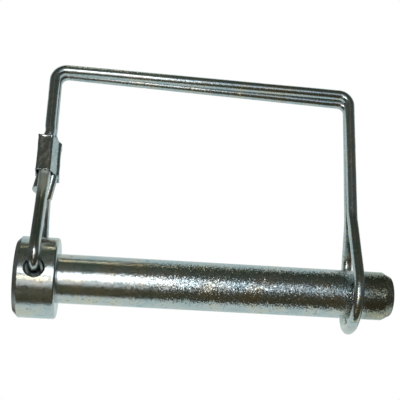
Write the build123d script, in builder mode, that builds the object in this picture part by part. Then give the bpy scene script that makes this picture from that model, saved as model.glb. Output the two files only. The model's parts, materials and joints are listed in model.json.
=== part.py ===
from math import atan2, cos, degrees, pi, radians, sin, sqrt, tan
import os

from build123d import *

os.makedirs("parts", exist_ok=True)

# Hitch pin lock: a headed pin with a square double-wire bail that snaps over its tip.
# Millimetres. The pin lies along +X with the origin on its axis at the shoulder under
# the head, and the bail leans down towards +Y, as it does when the pin lies on a bench.

# Pin
shank_diameter = 9.525              # 3/8 in
shank_length = 65.6                 # shoulder to the end of the tip
tip_chamfer_length = 1.75
tip_chamfer_depth = 0.92
tip_edge_round = 0.35
head_diameter = 15.7
head_length = 8.0
head_end_chamfer = 0.85
shoulder_edge_round = 0.5
cross_hole_diameter = 3.3
countersink_diameter = 3.9
countersink_depth = 0.55
countersink_overrun = 0.1           # the cone runs on past the head's curved surface

# Wire
wire_diameter = 2.16
strand_gap = 0.03                   # hair gap between two strands that lie together
wire_radius = wire_diameter / 2
strand_offset = wire_radius + strand_gap / 2

# Bail, in its own plane: x along the pin, y from the pin axis to the rail, z across the strands
grip_length = 57.15                 # 2-1/4 in from the shoulder to the inside of the eye
left_leg_x = -4.15
back_leg_shift = 0.28               # the back strand stands this much nearer the shank
right_leg_x = grip_length + wire_radius
rail_height_left = 44.5
rail_height_right = 43.2
back_rail_drop = 1.0                # the back strand's right corner sits this much lower
back_corner_shift = 0.2             # and this much further out
left_corner_radius = 2.5
right_corner_radius = 2.3
split_height = 39.4                 # the right leg starts here, under the corner

# Eye, the loop around the tip
eye_half_width = 6.8
eye_bottom = -6.7
eye_skew = 0.4                      # the loop is turned about the leg, its front towards the head
eye_back_skew = 0.75                # its back slants more, from this far out at the top
eye_tuck = 0.6                      # and its bottom leans this much towards the head
eye_back_tuck = 1.15
eye_corner_radius = 6.2
eye_shoulder_radius = 5.0
eye_front_close = 16.0              # height where the front strand leaves its neighbour
eye_front_full = 1.2                # height where it reaches the full half width
eye_back_close = 15.6
eye_back_full = 8.5

# Hinge wire, a U through the cross hole
hinge_x = -4.1                      # the cross hole's axis, at the middle of the head
hinge_wire_lean = 0.2               # the wire leans this much away from the shank at the ferrule
hinge_wire_rise = 0.2               # it is drawn against the rail side of the hole
hinge_corner = 10.893               # where its two straight runs would meet, across the head
hinge_bend_radius = 2.8
hinge_entry_radius = 4.0
hinge_straight_end = 20.2           # it runs parallel to the leg from here up into the ferrule
hinge_wire_end = 24.6               # its ends stop inside the ferrule

# Ferrule, crimped round four wires in a diamond
ferrule_bottom = 21.2
ferrule_top = 28.9
ferrule_x = -3.95
crimp_corners = (-1.15, 0.36)       # the flat the crimping tool leaves in front, and turned round behind
ferrule_wall = 0.22
ferrule_edge_round = 0.1
ferrule_clearance = 0.05            # between the sleeve and the wires, and between the wires
twist_start = 30.2                  # the stacked strands turn side by side below this
twist_step = 1.45
twist_turns = (0, 30, 60, 90)
twist_bulge = 0.07
twist_bend_radius = 3.0
stub_bend = 21.0                    # just inside the ferrule the strands turn towards their cut ends
left_stub = (-5.6, 17.9, 0.15)
right_stub = (-3.78, 16.6, -1.15)

shank_radius = shank_diameter / 2
head_radius = head_diameter / 2
diamond_x = strand_offset + hinge_x - hinge_wire_lean - ferrule_x
diamond_z = sqrt((wire_diameter + ferrule_clearance) ** 2 - diamond_x**2)

# Lying down, the bail rests on its rail and on the hinge wire's bend behind the head.
hinge_slope = atan2(hinge_corner - diamond_z, hinge_straight_end - hinge_wire_rise)
hinge_bend_start = hinge_corner - hinge_bend_radius * tan(pi / 4 + hinge_slope / 2)
hinge_reach = hinge_bend_start + hinge_bend_radius
lean = atan2(
    hinge_reach - strand_offset,
    rail_height_left - hinge_wire_rise - hinge_bend_radius,
)
across = Vector(0, sin(lean), cos(lean))
bail_plane = Plane(origin=(0, 0, 0), x_dir=(1, 0, 0), z_dir=across)


def at(x, y, z):
    return bail_plane.from_local_coords(Vector(x, y, z))


def twist_points(side):
    """The strand's turn from over its neighbour to beside it, going down the ferrule."""
    points = []
    for number, turn in enumerate(twist_turns):
        reach = strand_offset + (twist_bulge if 0 < turn < 90 else 0)
        x = ferrule_x - side * reach * sin(radians(turn))
        z = side * reach * cos(radians(turn))
        points.append(at(x, twist_start - twist_step * number, z))
    return points


# Pin body: head, shank and lead-in turned in one piece, then cross-drilled
with BuildPart() as pin_body:
    with BuildSketch(Plane.XY):
        with BuildLine():
            Polyline(
                (-head_length, 0),
                (-head_length, head_radius - head_end_chamfer),
                (-head_length + head_end_chamfer, head_radius),
                (0, head_radius),
                (0, shank_radius),
                (shank_length - tip_chamfer_length, shank_radius),
                (shank_length, shank_radius - tip_chamfer_depth),
                (shank_length, 0),
                close=True,
            )
        make_face()
    revolve(axis=Axis.X)
    rims = pin_body.edges().filter_by(GeomType.CIRCLE).group_by(Axis.X)
    fillet(rims[-1], tip_edge_round)
    rims = pin_body.edges().filter_by(GeomType.CIRCLE).filter_by_position(Axis.X, -0.01, 0.01)
    fillet(rims.sort_by(SortBy.RADIUS)[-1], shoulder_edge_round)
    with Locations(Plane(origin=at(hinge_x, 0, 0), x_dir=(1, 0, 0), z_dir=across)):
        Cylinder(cross_hole_diameter / 2, head_diameter * 2, mode=Mode.SUBTRACT)
    for side in (1, -1):
        mouth = at(hinge_x, 0, side * (head_radius - countersink_depth / 2))
        with Locations(Plane(origin=mouth, x_dir=(1, 0, 0), z_dir=across * side)):
            Cone(
                cross_hole_diameter / 2,
                countersink_diameter / 2 + countersink_overrun,
                countersink_depth,
                mode=Mode.SUBTRACT,
            )
pin_body.part.label = "pin_body"

# Hinge wire: down through the head's cross hole and back up to the ferrule on both sides
with BuildPart() as hinge_wire:
    hinge_points = [
        (hinge_x - hinge_wire_lean, hinge_wire_end, diamond_z),
        (hinge_x - hinge_wire_lean, hinge_straight_end, diamond_z),
        (hinge_x, hinge_wire_rise, hinge_corner),
    ]
    hinge_points += [(x, y, -z) for x, y, z in reversed(hinge_points)]
    with BuildLine() as hinge_route:
        FilletPolyline(
            *[at(x, y, z) for x, y, z in hinge_points],
            radius=[hinge_entry_radius, hinge_bend_radius, hinge_bend_radius, hinge_entry_radius],
        )
    with BuildSketch(Plane(origin=hinge_route.line @ 0, z_dir=hinge_route.line % 0)):
        Circle(wire_radius)
    sweep()
hinge_wire.part.label = "hinge_wire"

# Ferrule: a sleeve crimped over the four wires, wider across the strands than along the pin
with BuildPart() as crimp_ferrule:
    section = Plane(origin=at(ferrule_x, ferrule_bottom, 0), x_dir=(1, 0, 0), z_dir=bail_plane.y_dir)
    bore_radius = strand_offset + twist_bulge + wire_radius + ferrule_clearance / 2
    with BuildSketch(section):
        for wall, mode in ((ferrule_wall, Mode.ADD), (0, Mode.SUBTRACT)):
            with BuildSketch(mode=mode):
                Circle(bore_radius + wall)
                corners = [(side * x, side * diamond_z) for side in (1, -1) for x in crimp_corners]
                with Locations(*corners):
                    Circle(wire_radius + ferrule_clearance + wall)
                make_hull()
    extrude(amount=ferrule_top - ferrule_bottom)
    ends = crimp_ferrule.faces().filter_by(GeomType.PLANE)
    ends = ends.filter_by(lambda f: abs(f.normal_at().dot(bail_plane.y_dir)) > 0.99)
    fillet(ends.edges(), ferrule_edge_round)
crimp_ferrule.part.label = "crimp_ferrule"

# Bail strands: right corner, rail, left leg, then down through the ferrule to a cut stub
back_corner = (right_leg_x + back_corner_shift, rail_height_right - back_rail_drop)
strands = {
    "bail_strand_front": (1, left_leg_x, (right_leg_x, rail_height_right), left_stub),
    "bail_strand_back": (-1, left_leg_x + back_leg_shift, back_corner, right_stub),
}
for name, (side, leg_x, corner, stub_end) in strands.items():
    with BuildPart() as strand:
        with BuildLine() as strand_route:
            FilletPolyline(
                at(corner[0], split_height, side * strand_offset),
                at(*corner, side * strand_offset),
                at(leg_x, rail_height_left, side * strand_offset),
                at(leg_x, twist_start + twist_step, side * strand_offset),
                *twist_points(side),
                at(ferrule_x - side * strand_offset, stub_bend, 0),
                at(*stub_end),
                radius=[right_corner_radius, left_corner_radius] + [twist_bend_radius] * (len(twist_turns) + 2),
            )
        with BuildSketch(Plane(origin=strand_route.line @ 0, z_dir=strand_route.line % 0)):
            Circle(wire_radius)
        sweep()
    strand.part.label = name
    export_step(strand.part, f"parts/{name}.step")

# Eye leg: the right leg's two strands, opened into a loop around the pin near its tip
with BuildPart() as bail_eye_leg:
    with BuildLine() as eye_route:
        FilletPolyline(
            at(right_leg_x, split_height, strand_offset),
            at(right_leg_x, eye_front_close, strand_offset),
            at(right_leg_x - eye_skew, eye_front_full, eye_half_width),
            at(right_leg_x - eye_skew - eye_tuck, eye_bottom, eye_half_width),
            at(right_leg_x + eye_back_skew - eye_back_tuck, eye_bottom, -eye_half_width),
            at(right_leg_x + eye_back_skew, eye_back_full, -eye_half_width),
            at(right_leg_x, eye_back_close, -strand_offset),
            at(back_corner[0], split_height - 3, -strand_offset),
            at(back_corner[0], split_height, -strand_offset),
            radius=[
                eye_shoulder_radius,
                eye_shoulder_radius,
                eye_corner_radius,
                eye_corner_radius,
                eye_shoulder_radius,
                eye_shoulder_radius,
                eye_shoulder_radius,
            ],
        )
    with BuildSketch(Plane(origin=eye_route.line @ 0, z_dir=eye_route.line % 0)):
        Circle(wire_radius)
    sweep()
bail_eye_leg.part.label = "bail_eye_leg"

for piece in (pin_body, hinge_wire, crimp_ferrule, bail_eye_leg):
    export_step(piece.part, f"parts/{piece.part.label}.step")

print("lean of the bail, degrees:", round(degrees(lean), 3))
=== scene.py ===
"""The looks of the hitch pin lock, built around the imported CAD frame.

The wires and the ferrule are drawn here in millimetres, in the bail's own plane, and at() turns
them into metres. Their sizes repeat the CAD's, apart from the ferrule's section and the flats
that crimping left on the hinge wire, which the CAD doesn't have.
"""
import json
from math import cos, pi, radians, sin, sqrt, tan

import bmesh
import bpy
from mathutils import Matrix, Vector, noise


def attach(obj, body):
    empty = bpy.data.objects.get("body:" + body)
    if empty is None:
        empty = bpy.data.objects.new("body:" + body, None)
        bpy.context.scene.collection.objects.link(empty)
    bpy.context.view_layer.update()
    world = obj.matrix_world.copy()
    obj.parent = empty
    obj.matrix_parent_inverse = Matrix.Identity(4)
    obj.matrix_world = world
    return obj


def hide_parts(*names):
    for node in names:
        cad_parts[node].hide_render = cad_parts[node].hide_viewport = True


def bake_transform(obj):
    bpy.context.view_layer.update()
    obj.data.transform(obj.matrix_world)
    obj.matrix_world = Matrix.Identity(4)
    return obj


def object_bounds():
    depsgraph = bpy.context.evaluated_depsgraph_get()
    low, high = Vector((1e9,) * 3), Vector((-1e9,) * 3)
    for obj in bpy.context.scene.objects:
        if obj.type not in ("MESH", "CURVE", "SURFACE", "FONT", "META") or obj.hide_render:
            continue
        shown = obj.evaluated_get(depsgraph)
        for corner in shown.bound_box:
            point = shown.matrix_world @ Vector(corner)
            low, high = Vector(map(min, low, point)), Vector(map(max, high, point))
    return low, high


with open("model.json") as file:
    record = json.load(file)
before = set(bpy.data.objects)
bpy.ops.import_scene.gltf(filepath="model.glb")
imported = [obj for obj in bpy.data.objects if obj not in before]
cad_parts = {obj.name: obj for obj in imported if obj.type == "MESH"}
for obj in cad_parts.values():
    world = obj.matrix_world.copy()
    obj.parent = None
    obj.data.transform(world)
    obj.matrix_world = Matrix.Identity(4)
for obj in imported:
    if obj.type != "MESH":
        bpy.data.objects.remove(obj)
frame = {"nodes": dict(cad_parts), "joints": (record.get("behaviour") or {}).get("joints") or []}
cad_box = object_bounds()
MM = 0.001

# ---------------------------------------------------------------- the bail's own plane
joints = {j["name"]: j for j in frame["joints"]}
ALONG = Vector((1, 0, 0))
ACROSS = Vector(joints["bail_swing"]["axis"]).normalized()
RISE = ACROSS.cross(ALONG)
HINGE_X = joints["bail_swing"]["pos_m"][0] / MM


def at(x, y, z):
    """A point of the bail: x along the pin, y up to the rail, z across the strands, in mm."""
    return (ALONG * x + RISE * y + ACROSS * z) * MM


def clamp(value):
    return max(0.0, min(1.0, value))


def length_mm(line):
    return sum((b - a).length for a, b in zip(line, line[1:])) / MM


# ---------------------------------------------------------------- camera
CAM_X = Vector((0.99485646, 0.05082348, 0.08762192))
CAM_Y = Vector((-0.06254371, 0.98863928, 0.13667721))
CAM_Z = CAM_X.cross(CAM_Y)
CAM_AT = Vector((12.658, -7.995, 174.993)) * MM
CAM_TURN = Matrix((CAM_X, CAM_Y, CAM_Z)).transposed().to_4x4()

cam_data = bpy.data.cameras.new("camera")
cam_data.sensor_width = 36
cam_data.lens = 80.19
cam_data.clip_start = 0.005
cam_data.clip_end = 20
cam = bpy.data.objects.new("camera", cam_data)
cam.matrix_world = Matrix.Translation(CAM_AT) @ CAM_TURN
bpy.context.scene.collection.objects.link(cam)
bpy.context.scene.camera = cam
bpy.context.scene.view_settings.view_transform = "Standard"


# ---------------------------------------------------------------- node helpers
class Nodes:
    """A short way to build a node tree."""

    def __init__(self, tree):
        self.tree = tree
        tree.nodes.clear()

    def put(self, socket, value):
        if isinstance(value, bpy.types.NodeSocket):
            self.tree.links.new(value, socket)
        else:
            socket.default_value = value

    def add(self, kind, inputs=None, **settings):
        node = self.tree.nodes.new("ShaderNode" + kind)
        for name, value in settings.items():
            setattr(node, name, value)
        for name, value in (inputs or {}).items():
            self.put(node.inputs[name], value)
        return node

    def math(self, operation, a, b=0.0, c=0.0):
        return self.add("Math", {0: a, 1: b, 2: c}, operation=operation).outputs[0]

    def vector(self, operation, *values):
        return self.add("VectorMath", dict(enumerate(values)), operation=operation).outputs[0]

    def split(self, vector):
        return self.add("SeparateXYZ", {0: vector}).outputs

    def mix(self, factor, a, b, blend="MIX"):
        node = self.add("Mix", data_type="RGBA", blend_type=blend)
        for name, value in (("Factor", factor), ("A", a), ("B", b)):
            self.put(next(s for s in node.inputs if s.name == name and s.enabled), value)
        return next(s for s in node.outputs if s.enabled)

    def ramp(self, factor, stops):
        node = self.add("ValToRGB", {0: factor})
        elements = node.color_ramp.elements
        while len(elements) < len(stops):
            elements.new(0.5)
        for element, (place, value) in zip(elements, stops):
            element.position = place
            element.color = value if isinstance(value, tuple) else (value, value, value, 1)
        return node.outputs[0]

    def noise(self, vector, scale, detail, rough):
        inputs = {"Vector": vector, "Scale": scale, "Detail": detail, "Roughness": rough}
        return self.add("TexNoise", inputs).outputs[0]

    def finish(self, kind, shader):
        self.tree.links.new(shader.outputs[0], self.add("Output" + kind).inputs[0])


def new_material(name):
    material = bpy.data.materials.new(name)
    material.use_nodes = True
    return material, Nodes(material.node_tree)


# ---------------------------------------------------------------- materials
# the passivate's colour drifts from bluish through grey to straw
PASSIVATE = ((0.43, 0.49, 0.50, 1), (0.50, 0.53, 0.53, 1), (0.56, 0.53, 0.46, 1))
TIP_TINT = (0.62, 0.60, 0.50, 1)
FLECK_GOLD = (0.72, 0.61, 0.36, 1)
SCUFF_PALE = (0.80, 0.82, 0.77, 1)
NO_TINT = (1, 1, 1, 1)
EDGE_ROUND = 0.00022
BUMP_DISTANCE = 0.00005


def plating(name, rough, grain, marks, mark_depth, pits, wave_depth, patchy=1.0, drawn=False):
    """Bright zinc plate: grainy, faintly coloured metal with turned or drawn marks, and pits.

    grain lists layers of crystals as (scale, tilt, sparkle); in a sparkle layer a few crystals
    stand out much more than the rest. marks stretches the tool marks' noise along the work.
    pits is (scale, depth), and patchy is the mottle's strength. drawn is for wire: its marks
    follow the wire, and it is scuffed where the scuff attribute says.
    """
    material, n = new_material(name)
    here = n.add("TexCoord").outputs["Object"]
    mm = n.vector("MULTIPLY", here, (1000, 1000, 1000))
    mm_x, mm_y, _ = n.split(mm)

    # slow drifts of colour, and a finer mottle over them
    drift = n.ramp(n.noise(mm, 0.22, 3, 0.55), list(zip((0.36, 0.5, 0.66), PASSIVATE)))
    mottle_stops = [(0.3, 1 - 0.26 * patchy), (0.52, 1.0), (0.7, 1 + 0.1 * patchy)]
    mottle = n.ramp(n.noise(mm, 1.7, 4, 0.65), mottle_stops)
    colour = n.mix(1.0, drift, mottle, "MULTIPLY")

    # grain: every small crystal of the plate tilts its own way, more so away from the head
    normal = n.add("Bevel", {"Radius": EDGE_ROUND}, samples=4).outputs[0]
    strength = (1, 1, 1)
    if not drawn:
        strength = n.ramp(n.math("MULTIPLY", mm_x, 0.02), [(0.0, 0.3), (0.2, 0.6), (0.5, 1.0)])
    for scale, tilt, sparkle in grain:
        cells = n.add("TexVoronoi", {"Vector": mm, "Scale": scale, "Randomness": 1.0})
        lean = n.vector("SUBTRACT", cells.outputs["Color"], (0.5, 0.5, 0.5))
        lean = n.vector("MULTIPLY", lean, strength)
        if sparkle:
            square = n.vector("MULTIPLY", lean, lean)
            lean = n.vector("MULTIPLY", square, lean)
        normal = n.vector("MULTIPLY_ADD", lean, (tilt, tilt, tilt), normal)
    normal = n.vector("NORMALIZE", normal)

    # relief: tool marks, slow waves and pits
    run = n.add("Attribute", attribute_name="run").outputs["Vector"] if drawn else mm
    drawn_out = n.vector("MULTIPLY", run, marks)
    height = n.math("MULTIPLY", n.noise(drawn_out, 1.0, 3, 0.65), mark_depth)
    height = n.math("MULTIPLY_ADD", n.noise(mm, 0.8, 2, 0.5), wave_depth, height)
    pit_scale, pit_depth = pits
    hollow = n.ramp(n.noise(mm, pit_scale, 2, 0.5), [(0.60, 1.0), (0.68, 0.0)])
    height = n.math("MULTIPLY_ADD", hollow, pit_depth, height)
    relief = {"Height": height, "Distance": BUMP_DISTANCE, "Strength": 1.0, "Normal": normal}
    bump = n.add("Bump", relief).outputs[0]

    # the pin's tip is duller and browner, and golden flecks mark where the eye rubs over it
    hundredth = n.math("MULTIPLY", mm_x, 0.01)
    if not drawn:
        tip = n.ramp(hundredth, [(0.590, NO_TINT), (0.603, TIP_TINT)])
        colour = n.mix(1.0, colour, tip, "MULTIPLY")
    rubbed_from = [(0.55, 0.0), (0.58, 1.0)] if drawn else [(0.61, 0.0), (0.64, 1.0)]
    rubbed_below = n.ramp(n.math("MULTIPLY", mm_y, 0.04), [(0.5, 1.0), (0.66, 0.0)])
    rubbed = n.math("MULTIPLY", n.ramp(hundredth, rubbed_from), rubbed_below)
    specks = n.ramp(n.noise(mm, 1.6, 3, 0.6), [(0.54, 0.0), (0.64, 0.8)])
    flecks = n.math("MULTIPLY", specks, rubbed)
    colour = n.mix(flecks, colour, FLECK_GOLD)
    colour = n.mix(1.0, colour, n.math("MULTIPLY_ADD", hollow, 0.3, 0.7), "MULTIPLY")

    dull = n.math("MULTIPLY_ADD", n.noise(mm, 1.4, 4, 0.65), 0.10, rough - 0.05)
    dull = n.math("MULTIPLY_ADD", flecks, 0.12, dull)
    metal = 1.0
    if drawn:
        scuff = n.add("Attribute", attribute_name="scuff").outputs["Fac"]
        dull = n.math("MULTIPLY_ADD", scuff, 0.27, dull)
        colour = n.mix(scuff, colour, SCUFF_PALE)
        metal = n.math("MULTIPLY_ADD", scuff, -0.15, 1.0)
    finish = {"Base Color": colour, "Metallic": metal, "Roughness": dull, "Normal": bump}
    n.finish("Material", n.add("BsdfPrincipled", finish))
    return material


zinc_pin = plating(
    "zinc_turned", rough=0.20, grain=((7.5, 0.20, False), (4.5, 1.3, True)),
    marks=(0.3, 3.0, 3.0), mark_depth=0.04, pits=(1.5, 0.03), wave_depth=0.02, patchy=0.25,
)
zinc_wire = plating(
    "zinc_drawn", rough=0.16, grain=((7.0, 0.08, False),),
    marks=(0.25, 3.5, 3.5), mark_depth=0.12, pits=(1.9, 0.04), wave_depth=0.03, patchy=0.6,
    drawn=True,
)
zinc_ferrule = plating(
    "zinc_crimped", rough=0.16, grain=((5.0, 0.10, True),),
    marks=(1.0, 1.0, 1.0), mark_depth=0.05, pits=(1.6, 0.06), wave_depth=0.08,
)


# ---------------------------------------------------------------- wire meshes
SIDES = 40
LINE_STEP = 0.35                # spacing of a centre line's points, and of those on its arcs
ARC_STEP = 0.22
END_TILT_REACH = 1.2            # a sheared end's slant dies out over this length
END_RINGS = ((0.9, 0.05), (0.6, 0.03), (0.25, 0.06))    # each ring's size and how far it stands out
END_MIDDLE = 0.06


def make(name, verts, faces, material, runs=None):
    mesh = bpy.data.meshes.new(name)
    mesh.from_pydata(verts, [], faces)
    mesh.validate()
    for polygon in mesh.polygons:
        polygon.use_smooth = True
    if runs:
        layer = mesh.attributes.new("run", "FLOAT_VECTOR", "POINT")
        layer.data.foreach_set("vector", [c for v in runs for c in v])
    mesh.materials.append(material)
    piece = bpy.data.objects.new(name, mesh)
    bpy.context.scene.collection.objects.link(piece)
    return piece


def bent(points, radii):
    """A bent wire's centre line: straight runs joined by arcs, as closely spaced points."""
    line = [points[0]]
    for before, corner, after, radius in zip(points, points[1:], points[2:], radii):
        back, ahead = (before - corner).normalized(), (after - corner).normalized()
        half = back.angle(ahead) / 2
        reach = radius * MM / tan(half)
        centre = corner + (back + ahead).normalized() * (radius * MM / sin(half))
        start, sweep = corner + back * reach - centre, pi - 2 * half
        turn = start.cross(corner + ahead * reach - centre).normalized()
        steps = max(3, int(sweep * radius / ARC_STEP) + 1)
        for k in range(steps + 1):
            line.append(centre + Matrix.Rotation(sweep * k / steps, 3, turn) @ start)
    line.append(points[-1])
    dense = [line[0]]
    for a, b in zip(line, line[1:]):
        count = max(1, round((b - a).length / (LINE_STEP * MM)))
        dense += [a.lerp(b, k / count) for k in range(1, count + 1)]
    return dense


def quads(first, second, count):
    """The faces between two rings of count points that start at these numbers."""
    for j in range(count):
        i = (j + 1) % count
        yield first + j, first + i, second + i, second + j


def tube(line, radius, relief, ends=(0.0, 0.0), run_start=0.0):
    """A round wire along a centre line. relief(s, angle, point) adds to its radius.

    ends slants the two cut ends, in mm. Returns the points, the faces, and each point's place
    along and around the wire.
    """
    tangents = []
    for k in range(len(line)):
        a, b = line[max(k - 1, 0)], line[min(k + 1, len(line) - 1)]
        tangents.append((b - a).normalized())
    normal = ACROSS - tangents[0] * ACROSS.dot(tangents[0])
    normal.normalize()
    verts, runs, faces, s = [], [], [], 0.0
    total = length_mm(line)
    for k, (point, tangent) in enumerate(zip(line, tangents)):
        if k:
            s += (point - line[k - 1]).length / MM
            normal = (normal - tangent * normal.dot(tangent)).normalized()
        side = tangent.cross(normal)
        for j in range(SIDES):
            angle = 2 * pi * j / SIDES
            away = normal * cos(angle) + side * sin(angle)
            r = radius + relief(s, angle, point)
            tilt = 0.0
            for end, near in ((ends[0], s), (ends[1], total - s)):
                tilt += end * cos(angle) * max(0.0, 1 - near / END_TILT_REACH) ** 2
            verts.append(point + away * r * MM + tangent * tilt * MM)
            runs.append((s + run_start, angle * radius, run_start))
    rings = len(line)
    for k in range(rings - 1):
        faces += quads(k * SIDES, (k + 1) * SIDES, SIDES)

    # each cut end closes in smaller rings to a point
    for ring, outward in ((0, -1), (rings - 1, 1)):
        first = last = ring * SIDES
        centre, tangent = line[ring], tangents[ring] * outward
        for scale, push in END_RINGS:
            start = len(verts)
            for j in range(SIDES):
                verts.append(centre + (verts[first + j] - centre) * scale + tangent * push * MM)
                runs.append(runs[first + j])
            faces += [quad[::outward] for quad in quads(last, start, SIDES)]
            last = start
        verts.append(centre + tangent * END_MIDDLE * MM)
        runs.append(runs[first])
        tip = len(verts) - 1
        faces += [(last + j, last + (j + 1) % SIDES, tip)[::outward] for j in range(SIDES)]
    return verts, faces, runs


WANDER_DEPTH = 0.018
DENT_FROM = 0.42                # only the peaks of the noise above this become dents
DENT_DEPTH = 0.12


def wire_relief(s, angle, point):
    """Drawn wire isn't quite round or straight: hundredths of a millimetre of wander and dents."""
    wander = noise.noise(Vector((s * 0.18, cos(angle) * 0.6, sin(angle) * 0.6)))
    dent = noise.noise(point / MM * 0.9 + Vector((7, 3, 1)))
    return wander * WANDER_DEPTH - max(0.0, dent - DENT_FROM) * DENT_DEPTH


# ---------------------------------------------------------------- the bail wire, in one length
WIRE_R = 1.08
STRAND = 1.095                  # from the bail's plane to each strand's centre
FERRULE_X = -3.95
LEFT_X = -4.15
BACK_LEFT_X = -3.87
RIGHT_X = 58.23
BACK_RIGHT_X = RIGHT_X + 0.2
RAIL_LEFT = 44.5
RAIL_RIGHT = 43.2
BACK_RAIL_RIGHT = 42.2
BACK_LEG_BEND = 36.4            # the back strand's leg leans out from here up
LEG_END = 31.65                 # the straight left leg ends here, above the twist
TWIST_TOP = 30.2
TWIST_STEP = 1.45
TWIST_TURNS = (0, 30, 60, 90)
TWIST_BULGE = 0.07
STUB_BEND = 21.0
FRONT_STUB = (-5.6, 17.9, 0.15)
BACK_STUB = (-3.78, 16.6, -1.15)
STUB_SLANTS = (0.45, -0.4)
TWIST_RADII = [3.0] * 6
LEFT_CORNER_RADIUS = 2.5
RIGHT_CORNER_RADIUS = 2.3
EYE_HALF_WIDTH = 6.8
EYE_BOTTOM = -6.7
EYE_SKEW = 0.4                  # the loop is turned about the leg, its front towards the head
EYE_BACK_SKEW = 0.75
EYE_TUCK = 0.6                  # and its bottom leans towards the head
EYE_BACK_TUCK = 1.15
EYE_FRONT_CLOSE = 16.0          # the heights where each strand leaves its neighbour
EYE_BACK_CLOSE = 15.6
EYE_FRONT_FULL = 1.2            # and where it reaches the full half width
EYE_BACK_FULL = 8.5
EYE_RADII = [5, 5, 6.2, 6.2, 5, 5, 5]


def twist(side):
    """The strand turns from over its neighbour to beside it inside the ferrule."""
    points = []
    for number, turn in enumerate(TWIST_TURNS):
        reach = STRAND + (TWIST_BULGE if 0 < turn < 90 else 0)
        x = FERRULE_X - side * reach * sin(radians(turn))
        points.append(at(x, TWIST_TOP - TWIST_STEP * number, side * reach * cos(radians(turn))))
    return points


front = [
    at(*FRONT_STUB),
    at(FERRULE_X - STRAND, STUB_BEND, 0),
    *reversed(twist(1)),
    at(LEFT_X, LEG_END, STRAND),
    at(LEFT_X, RAIL_LEFT, STRAND),
    at(RIGHT_X, RAIL_RIGHT, STRAND),
]
eye = [
    at(RIGHT_X, EYE_FRONT_CLOSE, STRAND),
    at(RIGHT_X - EYE_SKEW, EYE_FRONT_FULL, EYE_HALF_WIDTH),
    at(RIGHT_X - EYE_SKEW - EYE_TUCK, EYE_BOTTOM, EYE_HALF_WIDTH),
    at(RIGHT_X + EYE_BACK_SKEW - EYE_BACK_TUCK, EYE_BOTTOM, -EYE_HALF_WIDTH),
    at(RIGHT_X + EYE_BACK_SKEW, EYE_BACK_FULL, -EYE_HALF_WIDTH),
    at(RIGHT_X, EYE_BACK_CLOSE, -STRAND),
    at(BACK_RIGHT_X, BACK_LEG_BEND, -STRAND),
]
back = [
    at(BACK_RIGHT_X, BACK_RAIL_RIGHT, -STRAND),
    at(BACK_LEFT_X, RAIL_LEFT, -STRAND),
    at(BACK_LEFT_X, LEG_END, -STRAND),
    *twist(-1),
    at(FERRULE_X + STRAND, STUB_BEND, 0),
    at(*BACK_STUB),
]
bail_radii = [
    *TWIST_RADII, LEFT_CORNER_RADIUS, RIGHT_CORNER_RADIUS,
    *EYE_RADII,
    RIGHT_CORNER_RADIUS, LEFT_CORNER_RADIUS, *TWIST_RADII,
]
verts, faces, runs = tube(bent(front + eye + back, bail_radii), WIRE_R, wire_relief, STUB_SLANTS)
bail_wire = make("bail_wire", verts, faces, zinc_wire, runs)
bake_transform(bail_wire)
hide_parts("bail_strand_front", "bail_strand_back", "bail_eye_leg")

# ---------------------------------------------------------------- the hinge wire
HINGE_LEAN = 0.2
HINGE_RISE = 0.2                # it is drawn against the rail side of the cross hole
HINGE_END = 24.6
HINGE_STRAIGHT_END = 20.2
HINGE_CORNER = 10.893
HINGE_RADII = [4.0, 2.8, 2.8, 4.0]
HINGE_RUN_START = 40.0          # its marks start elsewhere in the noise than the bail wire's
WIRE_CLEARANCE = 0.05
CRIMP_REACH = 11.5              # from the wire's end to where its crimped flat has faded out
CRIMP_FADE = 4.0                # the length over which it fades
CRIMP_SPREAD = 0.10
FLAT_DEPTH = 0.84               # from the wire's centre to its flat

lean_x = HINGE_X - HINGE_LEAN
diamond_z = sqrt((2 * WIRE_R + WIRE_CLEARANCE) ** 2 - (STRAND + lean_x - FERRULE_X) ** 2)
hinge_points = [
    (lean_x, HINGE_END, diamond_z),
    (lean_x, HINGE_STRAIGHT_END, diamond_z),
    (HINGE_X, HINGE_RISE, HINGE_CORNER),
]
hinge_points += [(x, y, -z) for x, y, z in reversed(hinge_points)]
hinge_line = bent([at(*p) for p in hinge_points], HINGE_RADII)
hinge_length = length_mm(hinge_line)


def crimped(s):
    """How strongly the crimping flattened the hinge wire, near both its ends."""
    return clamp((CRIMP_REACH - min(s, hinge_length - s)) / CRIMP_FADE)


def hinge_relief(s, angle, point):
    flat = crimped(s)
    facing = cos(angle) if s < hinge_length / 2 else -cos(angle)
    change = wire_relief(s, angle, point) + flat * CRIMP_SPREAD * sin(angle) ** 2
    if facing > 0.3:
        cut = FLAT_DEPTH + 0.03 * noise.noise(point / MM * 1.2)
        change = min(change, (cut / facing - WIRE_R) * flat + change * (1 - flat))
    return change


verts, faces, runs = tube(hinge_line, WIRE_R, hinge_relief, run_start=HINGE_RUN_START)
hinge = make("hinge_loop", verts, faces, zinc_wire, runs)
scuffs = hinge.data.attributes.new("scuff", "FLOAT", "POINT")
scuffs.data.foreach_set("value", [crimped(run[0] - HINGE_RUN_START) for run in runs])
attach(hinge, "bail")
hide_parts("hinge_wire")

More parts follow.
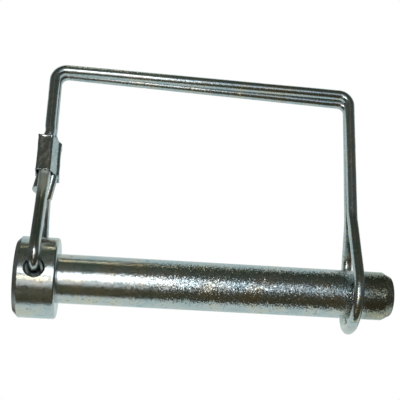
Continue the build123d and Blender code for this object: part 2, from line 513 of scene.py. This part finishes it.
# ---------------------------------------------------------------- the ferrule
# A thin sleeve crimped into a lozenge, the same seen from in front and from behind. Each corner
# of its section is x, z and the radius it is rounded to.
HALF_SECTION = [(-2.15, 3.28, 0.22), (0.72, 3.40, 0.60), (1.86, 1.15, 0.2), (2.42, 0.95, 0.25)]
SECTION = HALF_SECTION + [(-x, -z, r) for x, z, r in HALF_SECTION]
CORNER_STEPS = 7
SECTION_SPACING = 0.22
WALL = 0.22
ROWS = 34
FERRULE_BOTTOM = 21.15
FERRULE_TOP = 28.62
FERRULE_MIDDLE = 25.2
BOTTOM_SEED = 3.0
TOP_SEED = 9.0
BURRS = 9
BURR_STEPS = 4
BURR_BASE = 21.2
BURR_FRONT = 3.3
SECTION_FRONT = 3.28


def rounded(corners, shrink=0.0):
    """A closed outline with its corners rounded, moved inwards by shrink."""
    count, points = len(corners), []
    for k in range(count):
        x, z, radius = corners[k]
        corner = Vector((x, z))
        before = Vector(corners[k - 1][:2]) - corner
        after = Vector(corners[(k + 1) % count][:2]) - corner
        half_angle = before.angle(after) / 2
        bisector = (before.normalized() + after.normalized()).normalized()
        convex = before.x * after.y - before.y * after.x > 0
        reach = min(radius / tan(half_angle), 0.45 * min(before.length, after.length))
        radius = reach * tan(half_angle)
        centre = corner + bisector * (radius / sin(half_angle))
        start = corner + before.normalized() * reach - centre
        end = corner + after.normalized() * reach - centre
        sweep = start.angle_signed(end)
        for i in range(CORNER_STEPS + 1):
            spoke = start.copy()
            spoke.rotate(Matrix.Rotation(-sweep * i / CORNER_STEPS, 2))
            inward = -spoke.normalized() if convex else spoke.normalized()
            points.append((centre + spoke, inward))
    closed = []
    for k, (point, inward) in enumerate(points):
        following, inward_next = points[(k + 1) % len(points)]
        steps = max(1, int((following - point).length / SECTION_SPACING))
        for i in range(steps):
            t = i / steps
            offset = inward.lerp(inward_next, t).normalized() * shrink
            closed.append(point.lerp(following, t) + offset)
    return closed


def droop(x, top):
    """How far the cut end hangs below its base, over the outer right of the section."""
    near, outer, tail = clamp((x - 0.2) / 1.3), clamp((x - 1.2) / 1.3), clamp((x - 1.9) / 0.5)
    return 0.18 * near + (0.72 * outer if top else 0.25 * outer - 0.35 * tail)


def cut_end(x, z, base, top, seed):
    """A cut end's height at this place in the section: drooping, and slightly ragged."""
    coarse = noise.noise(Vector((x * 2.6, z * 2.6, seed))) * 0.12
    fine = noise.noise(Vector((x * 7, z * 7, seed))) * 0.05
    return base - droop(x, top) + (coarse + fine)


def ferrule_walls(verts, faces):
    outer, inner = rounded(SECTION), rounded(SECTION, WALL)
    count = len(outer)
    for points in (outer, inner):
        for row in range(ROWS + 1):
            t = row / ROWS
            t = t * t * (3 - 2 * t) * 0.5 + t * 0.5     # rows crowd towards the two ends
            for x, z in points:
                bottom = cut_end(x, z, FERRULE_BOTTOM, False, BOTTOM_SEED)
                top = cut_end(x, z, FERRULE_TOP, True, TOP_SEED)
                y = bottom + (top - bottom) * t
                dent = noise.noise(Vector((x * 0.55, y * 0.45, z * 0.55 + 4))) * 0.07
                dent += noise.noise(Vector((x * 1.6, y * 1.3, z * 1.6 + 8))) * 0.03
                near_end = max(0.0, 1 - min(y - bottom, top - y) / 0.45)
                swell = 1 + 0.03 * near_end ** 2
                pinch = 1 - 0.018 * max(0.0, 1 - abs(y - FERRULE_MIDDLE) / 2.6)
                scale = (1 + dent / 3) * swell * pinch
                verts.append(at(FERRULE_X + x * scale, y, z * scale))
    inside = (ROWS + 1) * count
    for row in range(ROWS):
        for a, b, c, d in quads(row * count, (row + 1) * count, count):
            faces.append((a, b, c, d))
            faces.append((inside + d, inside + c, inside + b, inside + a))
    rim = ROWS * count
    for outside_bottom, outside_top in zip(
        quads(inside, 0, count), quads(rim, inside + rim, count)
    ):
        faces.append(outside_bottom)
        faces.append(outside_top)


def ferrule_burrs(verts, faces):
    """Curled burrs where the front of the sleeve was sheared."""
    for number in range(BURRS):
        x = -2.0 + number * 0.28 + noise.noise(Vector((number * 1.7, 2, 0))) * 0.2
        length = 0.34 + 0.22 * noise.noise(Vector((number * 2.3, 5, 1)))
        curl = 0.10 + 0.22 * noise.noise(Vector((number * 3.1, 1, 7)))
        width = 0.16 + 0.08 * noise.noise(Vector((number * 4.7, 3, 2)))
        base = cut_end(x, BURR_FRONT, BURR_BASE, False, BOTTOM_SEED)
        first = len(verts)
        for step in range(BURR_STEPS + 1):
            t = step / BURR_STEPS
            y = base + 0.12 - length * t
            out = SECTION_FRONT + curl * t * t - 0.16 * t
            w = width * (1 - 0.75 * t)
            shift = 0.1 * t * noise.noise(Vector((number * 5.3, t, 4)))
            for side_x, side_z in ((-w, -0.05), (w, -0.05), (w, 0.05), (-w, 0.05)):
                thin = side_z * (1 - 0.5 * t)
                verts.append(at(FERRULE_X + x + shift + side_x / 2, y, out + thin))
        for step in range(BURR_STEPS):
            for a, b, c, d in quads(first + step * 4, first + (step + 1) * 4, 4):
                faces.append((a, d, c, b))
        faces.append(tuple(first + k for k in range(4)))
        faces.append(tuple(first + BURR_STEPS * 4 + k for k in (3, 2, 1, 0)))


verts, faces = [], []
ferrule_walls(verts, faces)
ferrule_burrs(verts, faces)
ferrule = make("ferrule", verts, faces, zinc_ferrule)
bm = bmesh.new()
bm.from_mesh(ferrule.data)
bmesh.ops.recalc_face_normals(bm, faces=bm.faces)
bm.to_mesh(ferrule.data)
bm.free()
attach(ferrule, "bail")
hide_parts("crimp_ferrule")

# ---------------------------------------------------------------- the pin keeps its CAD shape
pin = frame["nodes"]["pin_body"]
pin.data.materials.clear()
pin.data.materials.append(zinc_pin)

# ---------------------------------------------------------------- floor and paper
FLOOR_GAP = 0.0002
PAPER_LIFT = 0.00005
PAPER_X = (-0.013, 0.073)
PAPER_Y = (-0.6, 0.056)
PAPER_NEAR = (0.76, 0.88, 0.87, 1)
PAPER_FAR = (0.66, 0.78, 0.78, 1)
floor_z = cad_box[0].z - FLOOR_GAP


def glowing(name, colour_of):
    """A material that gives off the colour colour_of makes, and mirrors nothing."""
    material, n = new_material(name)
    n.finish("Material", n.add("Emission", {"Color": colour_of(n), "Strength": 1.0}))
    return material


def paper_colour(n):
    y = n.split(n.add("NewGeometry").outputs["Position"])[1]
    return n.ramp(n.math("MULTIPLY_ADD", y, 10.0, 0.5), [(0.2, PAPER_NEAR), (0.9, PAPER_FAR)])


# the table is seen white by the camera, and the metal doesn't mirror it
bpy.ops.mesh.primitive_plane_add(size=6, location=(0.03, 0.02, floor_z))
floor = bpy.context.object
floor.name = "floor"
floor.visible_glossy = False
floor.data.materials.append(glowing("white_table", lambda n: (1, 1, 1, 1)))

# the metal mirrors this sheet instead, and the camera doesn't see it. It ends just past the
# bail, so only the wires' inner flanks are bright
paper_z = floor_z + PAPER_LIFT
(left, right), (nearest, farthest) = PAPER_X, PAPER_Y
corners = [(left, nearest), (right, nearest), (right, farthest), (left, farthest)]
paper_mesh = bpy.data.meshes.new("paper")
paper_mesh.from_pydata([(x, y, paper_z) for x, y in corners], [], [(0, 1, 2, 3)])
paper_mesh.materials.append(glowing("paper", paper_colour))
paper = bpy.data.objects.new("paper", paper_mesh)
paper.visible_camera = False
bpy.context.scene.collection.objects.link(paper)

# ---------------------------------------------------------------- world
# The camera sees white. The metal mirrors a dim room: brown in front, greenish behind, with a
# brighter band straight across the pin, and pale low down in front, where the paper curves up.
ROOM_TONES = [
    (0.02, (0.060, 0.056, 0.036, 1)),
    (0.13, (0.078, 0.070, 0.038, 1)),
    (0.26, (0.085, 0.08, 0.052, 1)),
    (0.42, (0.10, 0.105, 0.095, 1)),
    (0.62, (0.15, 0.17, 0.17, 1)),
    (0.80, (0.10, 0.105, 0.082, 1)),
    (0.92, (0.085, 0.095, 0.078, 1)),
    (0.985, (0.05, 0.064, 0.045, 1)),
]
ROOM_SIDES = [(0.43, 0.85), (0.475, 2.2), (0.51, 1.5), (0.56, 0.8)]
PAPER_SLOPE = -0.14

world = bpy.data.worlds.new("world")
bpy.context.scene.world = world
world.use_nodes = True
n = Nodes(world.node_tree)
dx, dy, dz = n.split(n.add("TexCoord").outputs["Generated"])
room = n.ramp(n.math("MULTIPLY_ADD", dy, 0.5, 0.5), ROOM_TONES)
sides = n.ramp(n.math("MULTIPLY_ADD", dx, 0.5, 0.5), ROOM_SIDES)
room = n.mix(1.0, room, sides, "MULTIPLY")
below = n.math("SUBTRACT", n.math("MULTIPLY", dy, PAPER_SLOPE), dz)
ahead = n.math("MULTIPLY", dy, -1.0)
curved_paper = n.math(
    "MULTIPLY", n.ramp(below, [(0.0, 0.0), (0.05, 1.0)]), n.ramp(ahead, [(0.3, 0.0), (0.6, 1.0)])
)
room = n.mix(curved_paper, room, PAPER_NEAR)
seen = n.add("LightPath").outputs["Is Camera Ray"]
n.finish("World", n.add("Background", {"Color": n.mix(seen, room, (1, 1, 1, 1))}))

# ---------------------------------------------------------------- lamps
# name, place, size, power and colour; every lamp is aimed at the left half of the pin
LAMP_AIM = Vector((0.015, 0.0, 0.0))
LAMPS = [
    ("key", (0.007, 0.036, 0.155), (0.040, 0.080), 0.034, (0.93, 0.97, 1.0)),
    ("head_key", (-0.022, 0.036, 0.155), (0.022, 0.034), 0.009, (0.95, 0.98, 1.0)),
    ("key_skirt", (0.0, -0.034, 0.155), (0.060, 0.080), 0.014, (0.93, 0.97, 1.0)),
    ("blue_sky", (0.075, 0.050, 0.290), (0.13, 0.14), 0.050, (0.74, 0.88, 1.0)),
    ("warm_side", (-0.075, -0.045, 0.55), (0.05, 0.03), 0.07, (1.0, 0.84, 0.56)),
    ("low_lamp", (-0.02, 0.60, -0.01), (0.06, 0.05), 0.05, (1.0, 0.9, 0.66)),
    ("low_front", (-0.18, -0.43, 0.38), (0.10, 0.06), 0.03, (0.93, 0.97, 1.0)),
]
for name, place, (width, depth), power, colour in LAMPS:
    data = bpy.data.lights.new(name, "AREA")
    data.shape, data.size, data.size_y = "RECTANGLE", width, depth
    data.energy, data.color = power, colour
    lamp = bpy.data.objects.new(name, data)
    lamp.location = place
    lamp.rotation_euler = (LAMP_AIM - lamp.location).to_track_quat("-Z", "Y").to_euler()
    lamp.visible_camera = False
    bpy.context.scene.collection.objects.link(lamp)
